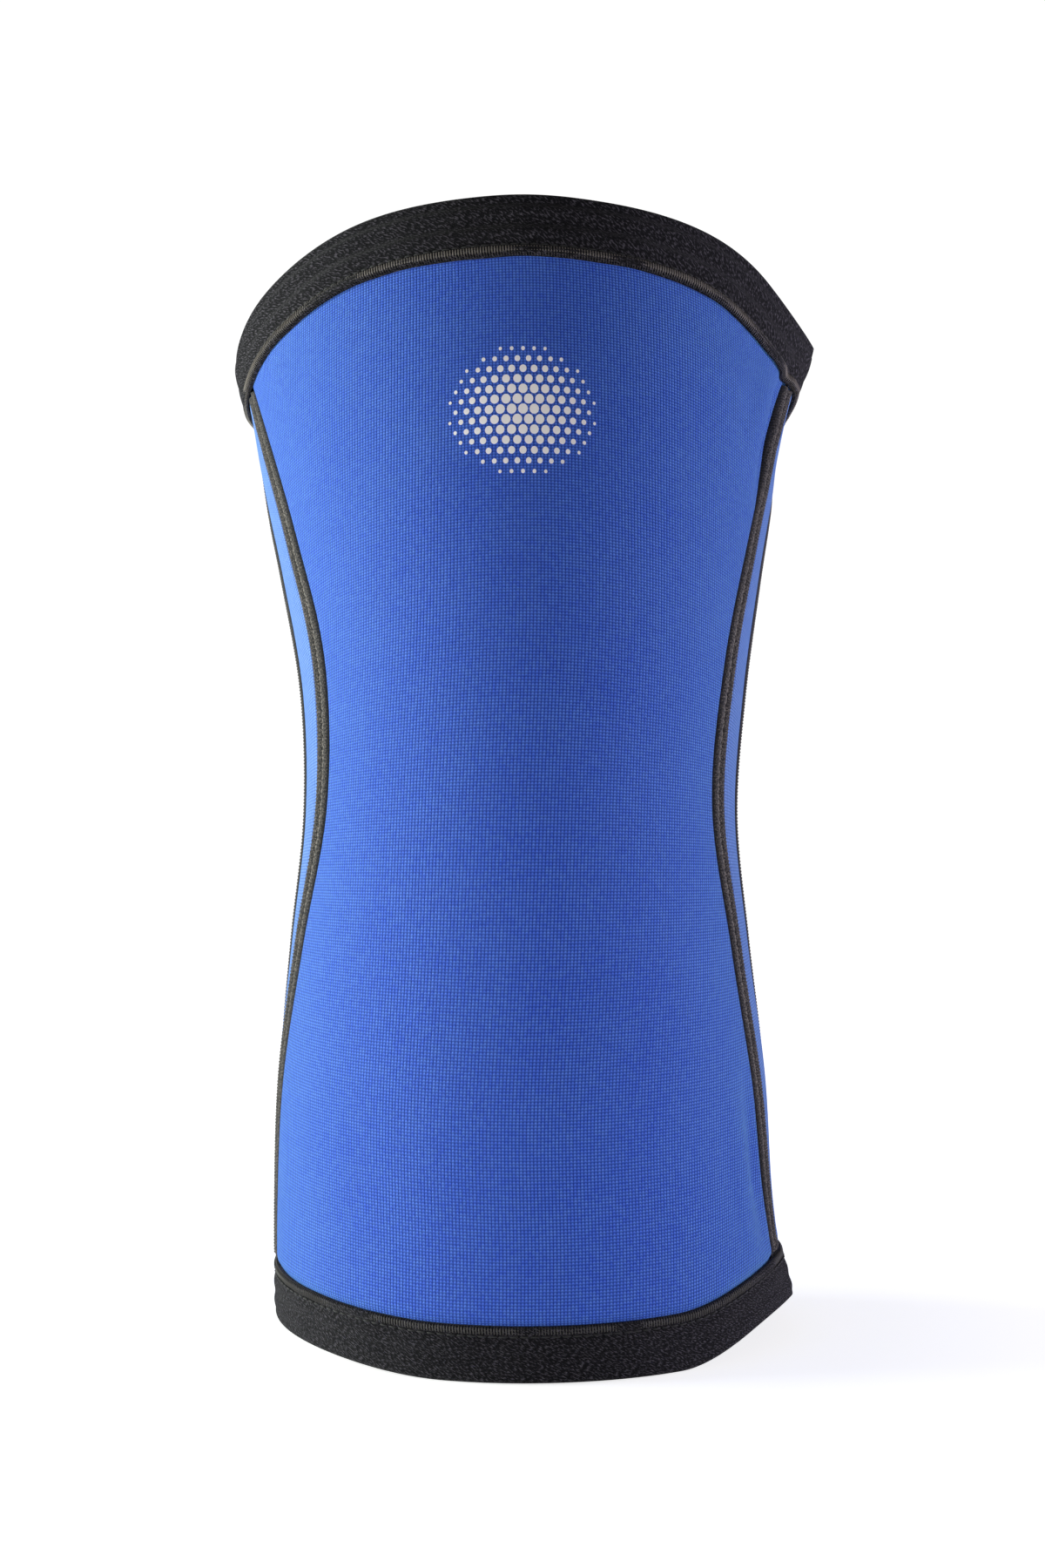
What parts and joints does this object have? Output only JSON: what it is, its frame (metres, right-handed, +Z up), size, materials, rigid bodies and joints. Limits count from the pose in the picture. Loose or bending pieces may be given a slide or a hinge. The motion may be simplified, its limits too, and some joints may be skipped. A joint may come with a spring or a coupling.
{
  "type": "knee sleeve",
  "caption": "Pull-on knee sleeve: a bent tube of thick stretch sheet, standing on end, with side gussets, taped seams and a knitted band at each rim.",
  "frame": {"origin": "middle of the underside of the bounding box, on the floor that the sleeve stands on", "axes": "+Z up from the lower rim to the upper rim, -Y towards the kneecap side, +X to the right seen from the kneecap side"},
  "size_m": [0.1676, 0.1502, 0.3008],
  "materials": {
    "front_neoprene": "blue ribbed jersey laminated on neoprene foam, matt",
    "back_neoprene": "blue ribbed jersey laminated on neoprene foam, matt",
    "side_neoprene": "lighter blue plain jersey laminated on neoprene foam, matt",
    "cover_tape": "black stitched cover tape with two ridges",
    "knit_band": "charcoal knitted elastic band with a fine slanting grain"
  },
  "bodies": {
    "root": {"front_panel": "front_neoprene", "back_panel": "back_neoprene", "left_gusset": "side_neoprene", "right_gusset": "side_neoprene", "front_left_tape": "cover_tape", "front_right_tape": "cover_tape", "back_right_tape": "cover_tape", "back_left_tape": "cover_tape", "lower_hem_band": "knit_band", "upper_hem_band": "knit_band"}
  },
  "joints": []
}
